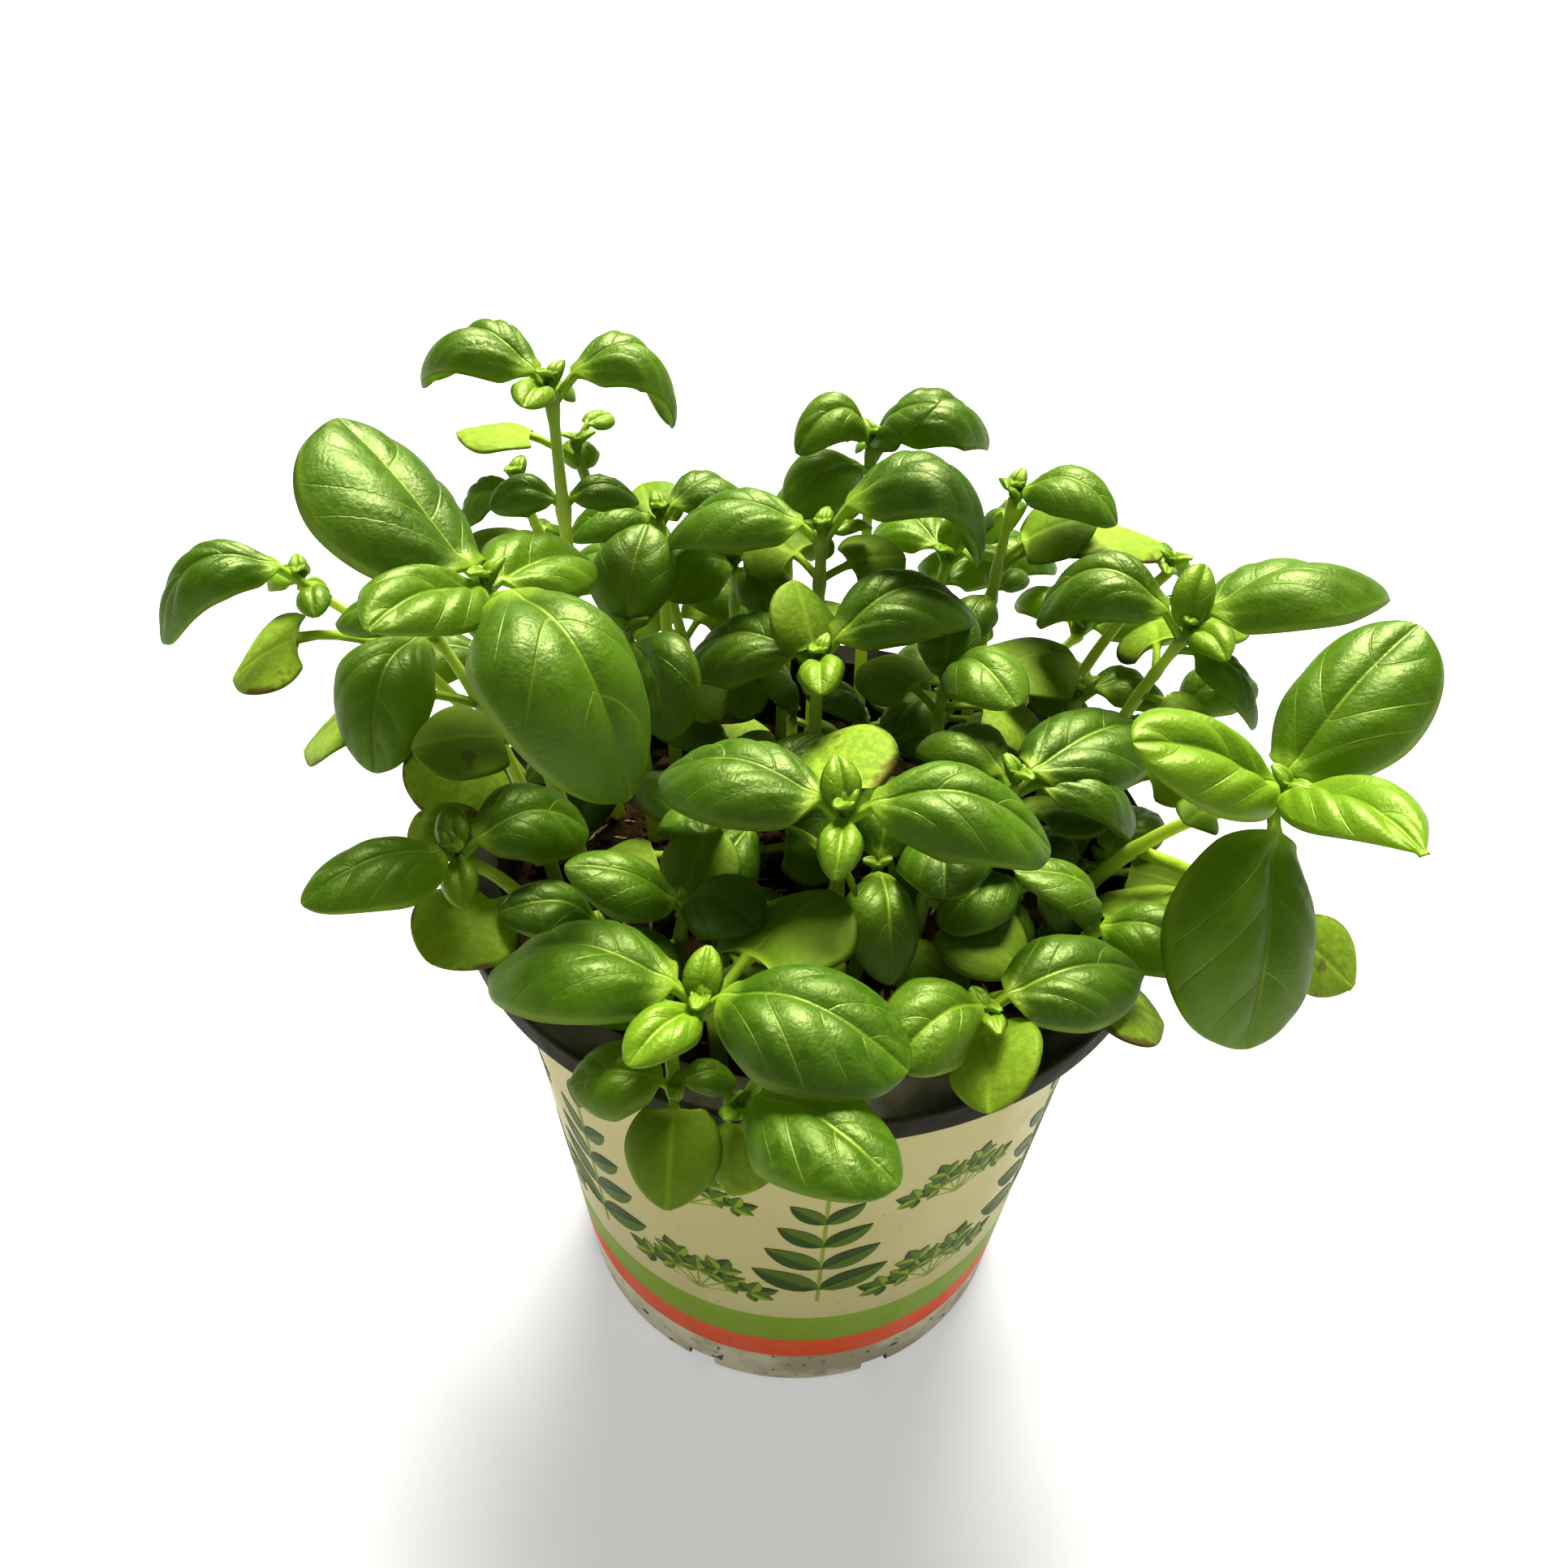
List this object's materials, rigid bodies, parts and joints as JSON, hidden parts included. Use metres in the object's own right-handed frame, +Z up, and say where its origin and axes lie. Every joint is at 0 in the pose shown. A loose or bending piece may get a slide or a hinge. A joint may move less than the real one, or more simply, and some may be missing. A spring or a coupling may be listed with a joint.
{
  "type": "potted basil plant",
  "caption": "Bushy potted basil: many leafy stems standing in soil in a tapered round nursery pot with a rolled lip, a notched foot and drain slots.",
  "frame": {"origin": "middle of the pot's underside, on the surface that it stands on", "axes": "+Z up, -Y towards the side where the lowest leaves hang over the lip"},
  "size_m": [0.2181, 0.1743, 0.1986],
  "materials": {
    "pot": "satin, printed outside in cream with an orange and a green band, dark olive grey inside and on the lip",
    "soil": "matte, crumbly and moist",
    "foliage": "satin leaves, thin enough to let light through"
  },
  "bodies": {
    "root": {"pot": "pot", "soil": "soil", "basil_tall_back": "foliage", "basil_back_thin": "foliage", "basil_back_left": "foliage", "basil_far_left": "foliage", "basil_left_big": "foliage", "basil_left_mid": "foliage", "basil_left_front": "foliage", "basil_mid_left": "foliage", "basil_mid_back": "foliage", "basil_back_right": "foliage", "basil_right_back": "foliage", "basil_right_rear": "foliage", "basil_right_mid": "foliage", "basil_right_big": "foliage", "basil_right_low": "foliage", "basil_center_back": "foliage", "basil_center_right": "foliage", "basil_center_far": "foliage", "basil_back_dark": "foliage", "basil_front_mid": "foliage", "basil_right_center": "foliage", "basil_under_right": "foliage", "basil_under_left": "foliage", "basil_front_left": "foliage", "basil_front_lip": "foliage", "basil_front_edge": "foliage", "basil_front_right": "foliage", "basil_left_under": "foliage", "basil_left_rim": "foliage", "basil_right_rim": "foliage", "basil_mid_low": "foliage", "basil_right_dark": "foliage", "basil_low_back": "foliage", "basil_rear_left": "foliage", "basil_rear_mid": "foliage", "basil_rear_right": "foliage", "basil_rear_side_left": "foliage", "basil_rear_side_right": "foliage", "basil_sprout_1": "foliage", "basil_sprout_2": "foliage", "basil_sprout_3": "foliage", "basil_sprout_4": "foliage", "basil_sprout_5": "foliage", "basil_inner_left": "foliage", "basil_inner_right": "foliage", "basil_inner_front": "foliage", "basil_inner_edge": "foliage"}
  },
  "joints": []
}
